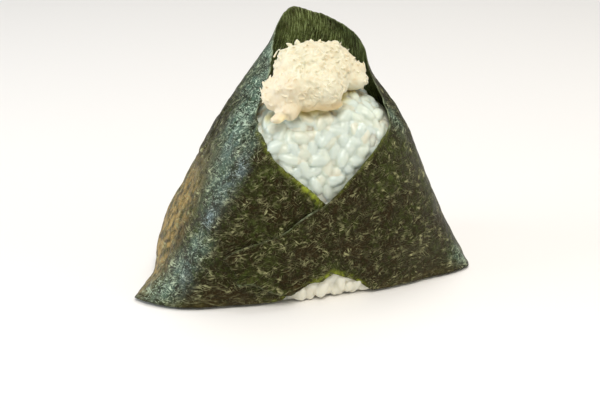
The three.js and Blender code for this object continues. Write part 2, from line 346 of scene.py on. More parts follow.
def earReach(turn, z):
    reach = 0 * turn
    for ear in sheet["ears"]:
        side = (turn - ear["turn"] + 540) % 360 - 180
        aheadOf = side < 0 if ear["turn"] < 180 else side > 0
        spread = np.where(aheadOf, ear["ahead"], ear["behind"])
        fade = np.clip(1 - np.abs(side) / spread, 0, 1) ** ear["power"]
        reach = reach + ear["reach"] * np.exp(-z / ear["fall"]) * fade
    return reach


def creaseDepth(turn, z):
    # each crease is a soft valley along a line on the sheet
    depth = 0 * turn
    scale = np.array([0.6, 1.0])  # a degree of turn is about 0.6 mm there
    spot = np.stack([turn * scale[0], z + 0 * turn], axis=-1)
    for crease in sheet["creases"]:
        start, end = np.array(crease["from"]) * scale, np.array(crease["to"]) * scale
        along = np.clip(((spot - start) @ (end - start)) / ((end - start) @ (end - start)), 0, 1)
        wander = 0.2 * np.sin(along * 9 + crease["from"][0])
        away = np.linalg.norm(spot - start - along[..., None] * (end - start), axis=-1) + wander
        fade = np.clip(4 * along * (1 - along) + 0.25, 0, 1)
        depth = depth + crease["depth"] * fade * np.exp(-(away / crease["width"]) ** 2)
    return depth


def sheetRadius(turn, z):
    # the middle of the sheet, before its puckers
    lift = sheet["flapLift"] * smoothStep(*sheet["liftTurns"], turn)
    edge = follow(sheet["upperEdge"], turn)
    lean = follow(sheet["inwardLean"], turn) * smoothStep(edge - sheet["leanFall"], edge, z)
    return blockRadius(turn, z) + earReach(turn, z) + sheet["gap"] + sheet["thickness"] / 2 + lift - lean


def sheetPuckers(turn, z, radius):
    points = placeAt(turn, radius, z)
    swell = sum(
        height * (0.35 + 0.65 * noise(points, size, sheet["seed"] + k))
        for k, (size, height) in enumerate(sheet["swells"]))
    outerFlap = turn > 330  # the two flaps pucker on their own
    spot = points + np.where(outerFlap, 400.0, 0.0)[..., None] * np.array([1, 0, 0])
    pucker = sum(
        height * noise(spot, size, sheet["seed"] + 7 + k)
        for k, (size, height) in enumerate(sheet["puckers"]))
    folds = sheet["sideFolds"]
    drawnOut = np.stack([np.radians(turn) * 42 / folds["apart"], z / folds["long"], 0 * z + 3.3], axis=-1)
    rightSide = smoothStep(255, 285, turn) * (turn < 300)
    side = between(folds["turns"], turn) + 0.5 * rightSide
    pucker = pucker + folds["depth"] * side * noise(drawnOut, 1.0, 77)
    lapped = np.maximum(smoothStep(322, 338, turn), smoothStep(60, 50, turn))
    pucker = pucker * (1 - (1 - sheet["lapPuckers"]) * lapped)
    crumple = sheet["crumple"]
    share = crumple["least"] + between(crumple["turns"], turn) * smoothStep(*crumple["heights"], z)
    folded = (1 - 2 * np.abs(noise(points, crumple["size"], 83))) ** 3
    pucker = pucker - crumple["depth"] * share * folded
    return swell + pucker - creaseDepth(turn, z)


def sheetGrid():
    rows, columns = sheet["rows"], sheet["columns"]
    up = np.linspace(0, 1, rows)[:, None]
    along = np.linspace(0, 1, columns)[None, :]
    lastTurn = sheet["rightEnd"][0] + (sheet["rightEnd"][1] - sheet["rightEnd"][0]) * up
    turn = sheet["leftEnd"] + (lastTurn - sheet["leftEnd"]) * along
    edgeSpot = np.stack([turn, 0 * turn, 0 * turn], axis=-1)
    ragged = sheet["ragged"] * (noise(edgeSpot, 3.1, 5) + 0.8 * noise(edgeSpot, 1.2, 6))
    endSpot = np.stack([0 * turn, 60 * up + 0 * turn, 0 * turn], axis=-1)
    turn = turn + 0.8 * noise(endSpot, 2.2, 8) * along ** 12
    low = follow(sheet["lowerEdge"], turn)
    low = low + np.where(low > 1.5, 1.2 * ragged, 0.35 * np.abs(ragged))
    high = follow(sheet["upperEdge"], turn) + ragged
    z = low + (high - low) * up
    radius = sheetRadius(turn, z)
    endCurl = smoothStep(0.972, 1, along) * (0.35 + 0.65 * (noise(endSpot, 6.0, 9) > -0.2))
    hem = sheet["hemCurl"]
    hemCurl = smoothStep(hem["height"], 0, z - low) * between(hem["turns"], turn)
    curl = np.maximum(sheet["flapCurl"] * endCurl, hem["out"] * hemCurl)
    radius = radius + sheetPuckers(turn, z, radius) + curl
    return turn, z, radius


def thinPlaces(turn, z):
    # light comes through the single sheet where it is stretched over white rice at its cut edges
    edges = {
        "thinUpper": follow(sheet["upperEdge"], turn) - z,
        "thinLower": z - follow(sheet["lowerEdge"], turn),
    }
    thin = sum(
        place["strength"] * smoothStep(*place["fade"], away) * between(place["turns"], turn)
        for key, away in edges.items() for place in sheet[key])
    return np.clip(thin, 0, 1)


def paleRims(turn, z):
    # the cut edges catch the light, most at the hood, less at the outer flap
    toUpper = follow(sheet["upperEdge"], turn) - z
    toLower = z - follow(sheet["lowerEdge"], turn)
    hood = between(sheet["rimHood"], turn) + smoothStep(280, 290, turn) * (turn < 312)
    flap = 0.45 * between(sheet["rimFlap"], turn)
    upper = smoothStep(*sheet["rimWidth"], toUpper) * np.clip(0.15 + hood + flap, 0, 1)
    lower = 0.25 * smoothStep(0.7, 0.1, toLower) * smoothStep(380, 388, turn)
    return np.maximum(upper, lower)


def patchMask(kind, turn, z):
    mask = 0 * turn
    for middleTurn, middleZ, wide, tall, strength in sheet["patches"][kind]:
        across = ((turn - middleTurn + 180) % 360 - 180) / wide
        mask = mask + strength * np.exp(-across ** 2 - ((z - middleZ) / tall) ** 2)
    return np.clip(mask, 0, 1)


def makeNori():
    turn, z, radius = sheetGrid()
    half = sheet["thickness"] / 2
    inner = placeAt(turn, radius - half, z)
    outer = placeAt(turn, radius + half, z)
    rows, columns = turn.shape
    count = rows * columns
    faces = gridFaces(rows, columns, 0) + gridFaces(rows, columns, count, flip=True)
    bottom = np.arange(columns)
    right = np.arange(rows) * columns + columns - 1
    top = np.arange(columns)[::-1] + (rows - 1) * columns
    left = (np.arange(rows) * columns)[::-1]
    rim = np.concatenate([bottom[:-1], right[:-1], top[:-1], left[:-1]])
    following = np.roll(rim, -1)
    faces += np.stack([following, rim, rim + count, following + count], axis=1).tolist()
    # the flat place on the sheet, in mm, for the fibres
    flat = np.stack([np.radians(turn) * 42, z, 0 * z], axis=-1).reshape(-1, 3)
    # the painted tan reflection on the left side
    side = between(sheet["tanReflectedSide"]["turns"], turn) * smoothStep(*sheet["tanReflectedSide"]["heights"], z)
    facing = np.maximum(smoothStep(84, 66, turn % 360), smoothStep(288, 306, turn))
    hem = facing * smoothStep(*sheet["brownHem"], z)
    masks = {kind: patchMask(kind, turn, z) for kind in sheet["patches"]}
    masks.update(thin=thinPlaces(turn, z), side=side, hem=hem, rim=paleRims(turn, z))
    attributes = {key: np.tile(mask.ravel(), 2) for key, mask in masks.items()}
    attributes["tone"] = attributes.pop("green") - attributes.pop("brown")
    attributes["sheetPlace"] = np.concatenate([flat, flat + [0, 0, 30]])
    attributes["inside"] = np.repeat([1.0, 0.0], count)
    points = np.concatenate([inner.reshape(-1, 3), outer.reshape(-1, 3)])
    return makePiece("noriSheet", points, faces, attributes)


# The cooked rice: a heart that shows only between the grains, and the grains
rice = {
    "heartSunk": 0.45,  # mm that the heart lies below the pressed surface
    "heartLumps": [(3.4, 0.35), (1.5, 0.14)],
    "baseLumps": (3.2, 0.25),
    "heartRings": 150,
    "heartSteps": 420,
    "baseRings": 44,
    "base": 0.5,  # the heart's lowest level
    "length": 6.9,
    "width": 4.2,
    "thickness": 3.5,
    # layers from deep to shallow: closest spacing, depth of the grains' middles, number of tries,
    # and how deep under the nori a grain may start
    "layers": [
        {"spacing": 2.7, "depth": 1.75, "tries": 16000, "deepest": 99.0},
        {"spacing": 3.2, "depth": 1.0, "tries": 16000, "deepest": 99.0},
        {"spacing": 5.4, "depth": 0.45, "tries": 2500, "deepest": -1.6},
    ],
    "reachUnder": 4.2,  # mm that grains go on under the nori's edges
    "underDepth": 0.65,  # how much deeper they lie there
    "archTop": 13.0,
    "archFade": 5.0,  # mm below its top to where it is full
    "archTurns": (36, 20),
    "archOut": 0.9,
    "inTopping": 2.2,  # grains deeper in the topping than this are left out
    "oilPool": {"at": (-15.4, -12.2, 60.4), "reach": 4.2},  # oil gathers beside the drip
    "oilReach": 4.6,  # mm from the topping that the rice is tinted
    "fuse": 0.31,  # mm, the fineness of the skin that joins the grains where they stick together
    "soften": 1,
    "creviceShade": (0.0, 1.0),  # mm below the surface where the painted shade starts and is full
    "grainRings": 10,
    "grainSides": 14,
    "grainLumps": [(2.6, 0.16), (1.1, 0.05)],
    "tipping": 0.2,  # how far a grain may tip out of the surface
    "unevenness": 0.08,  # of its length, width and thickness
    "sizeLimits": (0.82, 1.16),
    "bend": 0.02,
    "underside": {"spacing": 3.5, "tries": 5000, "level": 1.35, "floor": 0.04},
    "seed": 23,
}


def coverDepth(turn, z):
    # how far a place on the rice lies under the nori's nearest edge, below 0 where it shows
    depth = np.full(np.shape(turn), -99.0)
    for whole in (turn % 360, (turn % 360) + 360, (turn % 360) - 360):
        there = (whole >= sheet["leftEnd"]) & (whole <= sheet["rightEnd"][1])
        toUpper = follow(sheet["upperEdge"], whole) - z
        low = follow(sheet["lowerEdge"], whole)
        toLower = np.where(low > 2.2, z - low + 0.6, 99.0)  # the hem hides all but the arch
        inside = np.minimum(toUpper, toLower)
        depth = np.where(there, np.maximum(depth, inside), depth)
    return depth


def makeRiceHeart():
    half = rice["heartRings"] // 2
    start, top = body["domeStart"], body["top"]
    rise = np.sin(np.linspace(0, math.pi / 2, half))
    z = np.concatenate([np.linspace(rice["base"], start, half, endpoint=False), start + (top - start) * rise])
    turn = np.linspace(0, 360, rice["heartSteps"], endpoint=False)[None, :]
    drawn = domeDraw(np.minimum(z, top - 0.02))
    level = (z - rice["heartSunk"] * rise[-1] * smoothStep(start, top, z))[:, None]
    radius = np.maximum(blockRadius(turn, z[:, None]) * drawn[:, None] - rice["heartSunk"], 0.4)
    points = placeAt(turn, radius, level)
    lumps = sum(height * noise(points, size, 3 + k) for k, (size, height) in enumerate(rice["heartLumps"]))
    points = placeAt(turn, np.maximum(radius + lumps, 0.3), level)
    points[..., 2] += lumps * smoothStep(start + 6, top, z)[:, None]
    # the pressed underside, as rings that close in
    shrink = np.linspace(1, 0.01, rice["baseRings"])[1:, None]
    foot = placeAt(turn, radius[:1] * shrink, rice["base"] + 0 * shrink)
    size, height = rice["baseLumps"]
    foot[..., 2] += height * noise(foot, size, 9)
    rings = np.concatenate([foot[::-1], points])
    rows, columns = rings.shape[:2]
    faces = gridFaces(rows, columns, closed=True, flip=True)
    faces.append(np.arange(columns).tolist())
    faces.append((np.arange(columns)[::-1] + (rows - 1) * columns).tolist())
    return makePiece("riceHeart", rings.reshape(-1, 3), faces)


def grainShape(rings, sides):
    # one plump grain along X, with blunt ends
    t = np.sin(np.linspace(-1, 1, rings + 2)[1:-1, None] * math.pi / 2 * 0.985)
    swell = (1 - np.abs(t) ** 2.5) ** (1 / 2.2)
    angle = np.linspace(0, 2 * math.pi, sides, endpoint=False)[None, :]
    x = t * 0.5 * rice["length"] + 0 * angle
    y = swell * 0.5 * rice["width"] * np.cos(angle)
    z = swell * 0.5 * rice["thickness"] * np.sin(angle)
    tips = np.array([[-0.5 * rice["length"], 0, 0], [0.5 * rice["length"], 0, 0]])
    points = np.concatenate([np.stack([x, y, z], axis=-1).reshape(-1, 3), tips])
    faces = gridFaces(rings, sides, closed=True, flip=True)
    first, last, lastRing = rings * sides, rings * sides + 1, (rings - 1) * sides
    for k in range(sides):
        following = (k + 1) % sides
        faces.append([first, k, following])
        faces.append([last, lastRing + following, lastRing + k])
    return points, faces


def placeGrain(shape, middle, across, upward, out, draw):
    # turned at random on the surface, a little tipped, bent and uneven
    spin = draw.uniform(0, math.pi)
    tips = draw.normal(0, rice["tipping"], 2)
    sizes = draw.normal(1, rice["unevenness"], 3)
    lengthwise = unit(math.cos(spin) * across + math.sin(spin) * upward + tips[0] * out)
    sideways = np.cross(out, lengthwise) + tips[1] * out
    sideways = unit(sideways - lengthwise * (sideways @ lengthwise))
    turned = np.stack([lengthwise, sideways, np.cross(lengthwise, sideways)])
    bent = shape * np.clip(sizes, *rice["sizeLimits"])
    bent[:, 1] += rice["bend"] * bent[:, 0] ** 2
    placed = middle + bent @ turned
    lumps = sum(height * noise(placed, size, 61 + k) for k, (size, height) in enumerate(rice["grainLumps"]))
    return placed + unit(placed - middle) * lumps[:, None]


def riceSkin(turn, z):
    # the pressed surface of the rice, with a slight bulge at the arch
    out = rice["archOut"] * smoothStep(rice["archTop"], rice["archTop"] - rice["archFade"], z)
    out = out * smoothStep(*rice["archTurns"], np.abs((turn + 180) % 360 - 180))
    return placeAt(turn, blockRadius(turn, z) * domeDraw(z) + out, z)


def surfaceFrame(turn, z):
    # places on the rice, with the two directions along its surface and the one out of it
    step = 0.4
    high = np.minimum(z, body["top"] - 1.2)
    alongTurn = unit(riceSkin(turn + step, high) - riceSkin(turn - step, high))
    alongHeight = riceSkin(turn, high + step) - riceSkin(turn, high - step)
    out = unit(np.cross(alongTurn, alongHeight))
    spot = riceSkin(turn, high)
    inward = np.stack([axisX(high), 0 * high, np.minimum(high, 40.0)], axis=-1) - spot
    out = np.where(np.sum(out * inward, axis=-1, keepdims=True) > 0, -out, out)
    return spot, alongTurn, np.cross(out, alongTurn), out


def scatter(middles, spacing, kept):
    # the numbers of the places that keep their distance, in the order drawn
    chosen = []
    for number, middle in enumerate(middles):
        if kept and np.min(np.sum((np.array(kept) - middle) ** 2, axis=1)) < spacing ** 2:
            continue
        kept.append(middle)
        chosen.append(number)
    return chosen


def tintGrains(piece, points, middles, tints):
    # every point takes the tint of the grain that it is nearest to
    tree = KDTree(len(middles))
    for number, middle in enumerate(middles):
        tree.insert(middle, number)
    tree.balance()
    nearest = [tree.find(point)[1] for point in points]
    addAttribute(piece.data, "grainTint", tints[nearest])
    toPool = np.linalg.norm(points - np.array(rice["oilPool"]["at"]), axis=-1)
    pool = smoothStep(rice["oilPool"]["reach"], 2.0, toPool)
    oil = np.maximum(smoothStep(-rice["oilReach"], -0.2, insideSpoon(points)), pool)
    addAttribute(piece.data, "oil", oil)
    # painted shade that deepens below the pressed surface, between the grains
    turn, radius = turnAndRadius(points)
    z = np.minimum(points[:, 2], body["top"] - 0.5)
    below = np.minimum(blockRadius(turn, z) * domeDraw(z) - radius, 0.8 * (body["top"] - points[:, 2]))
    addAttribute(piece.data, "creviceShade", smoothStep(*rice["creviceShade"], below))
    foot = smoothStep(rice["archTop"], rice["archTop"] - rice["archFade"], points[:, 2])
    addAttribute(piece.data, "foot", foot)


def makeRiceGrains():
    draw = np.random.default_rng(rice["seed"])
    shape, shapeFaces = grainShape(rice["grainRings"], rice["grainSides"])
    grains = []
    for number, layer in enumerate(rice["layers"]):
        turn = draw.uniform(-180, 180, layer["tries"])
        z = draw.uniform(1.4, body["top"] - 1.3, layer["tries"])
        depth = coverDepth(turn, z)
        onDome = domeDraw(z) < 0.8
        shows = ((depth < rice["reachUnder"]) | onDome) & (depth < layer["deepest"])
        turn, z, depth, onDome = turn[shows], z[shows], depth[shows], onDome[shows]
        spot, across, upward, out = surfaceFrame(turn, z)
        under = rice["underDepth"] * np.where(onDome, 0.5, smoothStep(-0.4, 2.0, depth))
        middles = spot - out * (layer["depth"] + under)[:, None]
        clear = insideSpoon(middles) < rice["inTopping"]
        middles, across, upward, out = middles[clear], across[clear], upward[clear], out[clear]
        chosen = scatter(middles, layer["spacing"], [])
        for k in chosen:
            placed = placeGrain(shape, middles[k], across[k], upward[k], out[k], draw)
            placed[:, 2] += max(0.0, rice["underside"]["floor"] - placed[:, 2].min())
            grains.append((placed, shapeFaces))
        print("rice layer", number, "has", len(chosen), "grains")
    piece = makePiece("riceGrains", *joinParts(grains))
    skin = fuse(piece, rice["fuse"], rice["soften"])
    tintGrains(piece, skin, [placed.mean(axis=0) for placed, _ in grains], draw.random(len(grains)))
    return piece


def makeRiceUnderside():
    # the grains at the bottom are pressed flat where they lie on the table
    flat = rice["underside"]
    draw = np.random.default_rng(rice["seed"] + 1)
    shape, shapeFaces = grainShape(6, 10)
    turn = draw.uniform(-180, 180, flat["tries"])
    share = np.sqrt(draw.uniform(0, 1, flat["tries"]))
    edge = blockRadius(turn, 0 * turn) - 0.55 * rice["length"]
    middles = placeAt(turn, edge * share, flat["level"] + 0 * turn)
    chosen = scatter(middles, flat["spacing"], [])
    grains = []
    east, north, down = np.eye(3) * np.array([1, 1, -1])
    for k in chosen:
        placed = placeGrain(shape, middles[k], east, north, down, draw)
        placed[:, 2] = np.maximum(placed[:, 2], flat["floor"] + 0.05 * (placed[:, 2] - placed[:, 2].min()))
        grains.append((placed, shapeFaces))
    print("underside has", len(grains), "grains")
    points, faces = joinParts(grains)
    tints = np.repeat(draw.random(len(grains)), len(shape))
    return makePiece("riceUnderside", points, faces, {"grainTint": tints, "oil": np.zeros(len(points))})


# The tuna mayonnaise: soft lobes, with flakes, jagged peaks and loose strands
spoon = {
    "middle": (1.5, -7.0, 66.0),
    "lobes": [
        {"at": (2.8, -3, 68.7), "reach": (12.6, 9.5, 9.4)},
        {"at": (-2, -12, 66.4), "reach": (12.8, 7.5, 6.2)},
        {"at": (15.2, -4, 67), "reach": (4.8, 6, 4.6)},
        {"at": (-11.6, -12.4, 65.0), "reach": (4.0, 4.4, 3.8)},
        {"at": (-9.6, -16.4, 61.8), "reach": (3.6, 3.2, 2.8)},
        {"at": (-13.4, -18.4, 60.0), "reach": (2.0, 1.9, 1.3)},
    ],
    "farthest": 40.0,
    "lowest": 60.0,  # no flakes or peaks below this
    "buried": 1.0,  # mm under the rice, where they would not show
    "clearance": 0.7,  # mm from the middle of the nori
    "steps": 330,
    "rings": 210,
    # lumps: size across and height, in mm; flakes are longer than they are wide
    "lumps": [(6.5, 1.7), (3.2, 1.1), (1.5, 0.32)],
    "flakes": {"length": 4.2, "width": 1.15, "height": 0.2},
    "shreds": {
        "count": 520, "length": (2.0, 4.4), "width": (0.7, 1.3), "flat": 0.4,
        "lift": (-0.02, 0.03), "upwards": -0.25,
    },
    "peaks": {
        "count": 46, "length": (1.0, 1.8), "width": (1.6, 3.0), "flat": 0.8,
        "lift": (0.6, 1.1), "upwards": 0.3,
    },
    "fuse": 0.24,  # mm, the fineness of the skin
    "soften": 3,
    # loose ends that stand off: where each starts and ends, how far it bows upwards, and its width
    "looseEnds": [
        {"from": (-10.2, -3.0, 74.6), "to": (-6.2, 0, 77.1), "bow": 0.5, "width": 0.8},
        {"from": (-13.6, -13.4, 65.4), "to": (-14.9, -14, 68.8), "bow": -0.4, "width": 1.1},
        {"from": (13.0, 1.8, 74.4), "to": (13.9, 2, 76.9), "bow": 0.1, "width": 1.0},
        {"from": (14.8, 1.0, 72.8), "to": (16.6, 1, 74.3), "bow": 0.2, "width": 1.0},
        {"from": (-3.6, 0.5, 76.8), "to": (-5.4, 0.5, 77.9), "bow": 0.1, "width": 2.0},
        {"from": (-1.1, 1.5, 76.9), "to": (-1.3, 1.5, 78.6), "bow": 0.1, "width": 2.6},
        {"from": (3.9, 2.5, 76.6), "to": (3.5, 2.5, 78.0), "bow": 0.1, "width": 2.4},
        {"from": (6.4, 2.5, 76.4), "to": (7.0, 2.5, 77.8), "bow": 0.1, "width": 1.8},
        {"from": (10.8, 2.5, 76.0), "to": (11.2, 2.5, 76.6), "bow": 0.1, "width": 2.0},
    ],
    "oil": {"at": (-12, -19.5, 59.6), "reach": 3.2},  # mm
    # the tan of its lower side, partly oil and partly painted shade under the lip: its heights, how they
    # lean, and how much of it is lost at the left
    "tan": {
        "heights": (64.6, 60.8), "leanX": -0.05, "leanY": 0.12, "front": -12, "left": (-5, -9), "lost": 0.85,
    },
    "pink": (-4, -12),  # mm from the middle to the left
    "seed": 31,
}


def lobePull(points):
    total = 0
    for lobe in spoon["lobes"]:
        far = np.sum(((points - np.array(lobe["at"])) / np.array(lobe["reach"])) ** 2, axis=-1)
        total = total + np.exp(3 * (1 - far))
    return total


def spoonDistance(directions):
    near = np.zeros(directions.shape[:-1])
    far = near + spoon["farthest"]
    for _ in range(14):
        middle = (near + far) / 2
        inside = lobePull(np.array(spoon["middle"]) + directions * middle[..., None]) > 1
        near, far = np.where(inside, middle, near), np.where(inside, far, middle)
    return near


def insideSpoon(points):
    # mm that points lie inside the spoonful, below 0 outside it
    toPoint = points - np.array(spoon["middle"])
    length = np.linalg.norm(toPoint, axis=-1)
    return spoonDistance(toPoint / np.maximum(length, 0.001)[..., None]) - length


def flakeRelief(points):
    # flakes lie along two directions that change over from place to place
    flakes = spoon["flakes"]
    change = smoothStep(-0.25, 0.25, noise(points, 5.0, 90))
    relief = 0
    for k, (lengthwise, share) in enumerate((((1, 0.15, 0.35), change), ((0.45, 0.2, -1), 1 - change))):
        lengthwise = unit(np.array(lengthwise))
        along = (points @ lengthwise)[..., None] * lengthwise
        squeezed = along / flakes["length"] + (points - along) / flakes["width"]
        relief = relief + share * (1 - 2 * np.abs(noise(squeezed, 1.0, 40 + k)))
    return flakes["height"] * relief


def spoonSkin(directions):
    distance = spoonDistance(directions)
    points = np.array(spoon["middle"]) + directions * distance[..., None]
    crags = flakeRelief(points)
    for k, (size, height) in enumerate(spoon["lumps"]):
        crags = crags + height * noise(points, size, spoon["seed"] + k)
    points = np.array(spoon["middle"]) + directions * (distance + crags)[..., None]
    # nothing comes through the nori where the sheet stands beside it
    turn, radius = turnAndRadius(points)
    room = sheetRadius(turn % 360, points[..., 2]) - spoon["clearance"]
    beside = smoothStep(2.5, 0.5, points[..., 2] - follow(sheet["upperEdge"], turn % 360))
    allowed = np.where(radius > room, room + (radius - room) * (1 - beside), radius)
    axis = np.stack([axisX(points[..., 2]), 0 * radius, points[..., 2]], axis=-1)
    return axis + (points - axis) * (allowed / np.maximum(radius, 0.001))[..., None]


def ribbon(path, width, flat, blunt, sides=6):
    # a thread along a path, thick at the start and thin at the end unless it is blunt, closed at both ends
    ahead = unit(np.gradient(path, axis=0))
    level = unit(np.cross(ahead, [0.13, 0.2, 0.97]))
    upright = np.cross(level, ahead)
    t = np.linspace(0, 1, len(path))
    taper = np.sin(np.linspace(0.12, math.pi - 0.12, len(path))) ** 0.6 if blunt else 1.04 - t ** 1.3
    angle = np.linspace(0, 2 * math.pi, sides, endpoint=False)
    across = np.cos(angle)[None, :, None] * level[:, None]
    ring = across + flat * np.sin(angle)[None, :, None] * upright[:, None]
    points = path[:, None] + 0.5 * width * taper[:, None, None] * ring
    faces = gridFaces(len(path), sides, closed=True)
    faces += [np.arange(sides)[::-1].tolist(), (np.arange(sides) + (len(path) - 1) * sides).tolist()]
    return points.reshape(-1, 3), faces


def buriedInRice(points):
    turn, radius = turnAndRadius(points)
    z = np.minimum(points[..., 2], body["top"] - 0.1)
    return (points[..., 2] < body["top"]) & (radius < blockRadius(turn, z) * domeDraw(z) - spoon["buried"])


def flakesAndPeaks():
    # flakes lie along the surface, and peaks stand up where the spoon came away
    draw = np.random.default_rng(spoon["seed"])
    parts = []
    for kind in ("shreds", "peaks"):
        sort = spoon[kind]
        for _ in range(sort["count"]):
            out = draw.normal(0, 1, 3)
            out[2] = abs(out[2]) * 0.9 + sort["upwards"]
            out = unit(out)
            tangent = unit(np.cross(out, draw.normal(0, 1, 3)))
            length = draw.uniform(*sort["length"])
            width = draw.uniform(*sort["width"])
            bend = draw.uniform(-0.5, 0.5)
            lift = draw.uniform(*sort["lift"])
            skin = spoonSkin(out[None])[0]
            if skin[2] < spoon["lowest"] or buriedInRice(skin):
                continue
            sideways = np.cross(out, tangent)
            if kind == "peaks":
                t = np.linspace(0, 1, 6)[:, None]
                path = length * (t * (lift * out + 0.6 * tangent) + 0.4 * bend * t * t * sideways) - 0.5 * out
            else:
                t = np.linspace(-0.5, 0.5, 7)[:, None]
                path = length * (t * tangent + bend * t * t * sideways + (lift - 0.3 * t * t) * out)
            path = path + skin
            pathTurn, pathRadius = turnAndRadius(path)
            beside = path[:, 2] < follow(sheet["upperEdge"], pathTurn % 360) + 1.5
            if np.any(beside & (pathRadius > sheetRadius(pathTurn % 360, path[:, 2]) - 0.5)):
                continue
            parts.append(ribbon(path, width, sort["flat"], kind == "shreds"))
    return parts


def looseEnds():
    parts = []
    for end in spoon["looseEnds"]:
        t = np.linspace(0, 1, 9)[:, None]
        start, stop = np.array(end["from"]), np.array(end["to"])
        path = start + (stop - start) * t + end["bow"] * 4 * t * (1 - t) * np.array([-0.3, 0, 1])
        parts.append(ribbon(path, end["width"], 0.8, False))
    return parts


def makeSpoonful():
    polar = np.linspace(0.02, math.pi - 0.02, spoon["rings"])[:, None]
    heading = np.linspace(0, 2 * math.pi, spoon["steps"], endpoint=False)[None, :]
    level = np.sin(polar)
    upward = np.cos(polar) + 0 * heading
    directions = np.stack([level * np.cos(heading), level * np.sin(heading), upward], axis=-1)
    points = spoonSkin(directions)
    rows, columns = points.shape[:2]
    faces = gridFaces(rows, columns, closed=True, flip=True)
    faces.append(np.arange(columns).tolist())
    faces.append((np.arange(columns)[::-1] + (rows - 1) * columns).tolist())
    parts = [(points.reshape(-1, 3), faces)] + flakesAndPeaks() + looseEnds()
    piece = makePiece("tunaMayonnaise", *joinParts(parts))
    skin = fuse(piece, spoon["fuse"], spoon["soften"])
    # low on the spoonful it is tan, partly oil and partly painted shade under the lip; at the left it is
    # pinker, and oil gathers at the drip
    tan = spoon["tan"]
    height = skin[:, 2] + tan["leanY"] * (skin[:, 1] - tan["front"]) + tan["leanX"] * skin[:, 0]
    low = smoothStep(*tan["heights"], height) * (1 - tan["lost"] * smoothStep(*tan["left"], skin[:, 0]))
    toDrip = np.linalg.norm(skin - np.array(spoon["oil"]["at"]), axis=-1)
    addAttribute(piece.data, "low", low)
    addAttribute(piece.data, "pink", smoothStep(*spoon["pink"], skin[:, 0]))
    addAttribute(piece.data, "oil", smoothStep(spoon["oil"]["reach"], 0.5, toDrip))
    return piece


print("shapes start")
noriSheet = makeNori()
print("nori made")
riceHeart = makeRiceHeart()
riceGrains = makeRiceGrains()
riceUnderside = makeRiceUnderside()
print("rice made")
tunaMayonnaise = makeSpoonful()
print("topping made")


# Materials
def linear(hexValue):
    parts = [int(hexValue[k:k + 2], 16) / 255 for k in (0, 2, 4)]
    return tuple(p / 12.92 if p <= 0.04045 else ((p + 0.055) / 1.055) ** 2.4 for p in parts) + (1.0,)


def addNode(tree, kind, inputs=None, settings=None, stops=None):
    # adds one node: inputs are values or the sockets that feed them, stops are a ramp's places and colours
    node = tree.nodes.new(kind)
    for key, value in (settings or {}).items():
        setattr(node, key, value)
    for key, value in (inputs or {}).items():
        if isinstance(value, bpy.types.NodeSocket):
            tree.links.new(value, node.inputs[key])
        else:
            node.inputs[key].default_value = value
    if stops:
        ramp = node.color_ramp.elements
        while len(ramp) < len(stops):
            ramp.new(0.5)
        for element, (place, colour) in zip(ramp, stops):
            element.position = place
            element.color = colour
    return node


def newMaterial(name):
    material = bpy.data.materials.new(name)
    material.use_nodes = True
    material.node_tree.nodes.clear()
    return material, material.node_tree


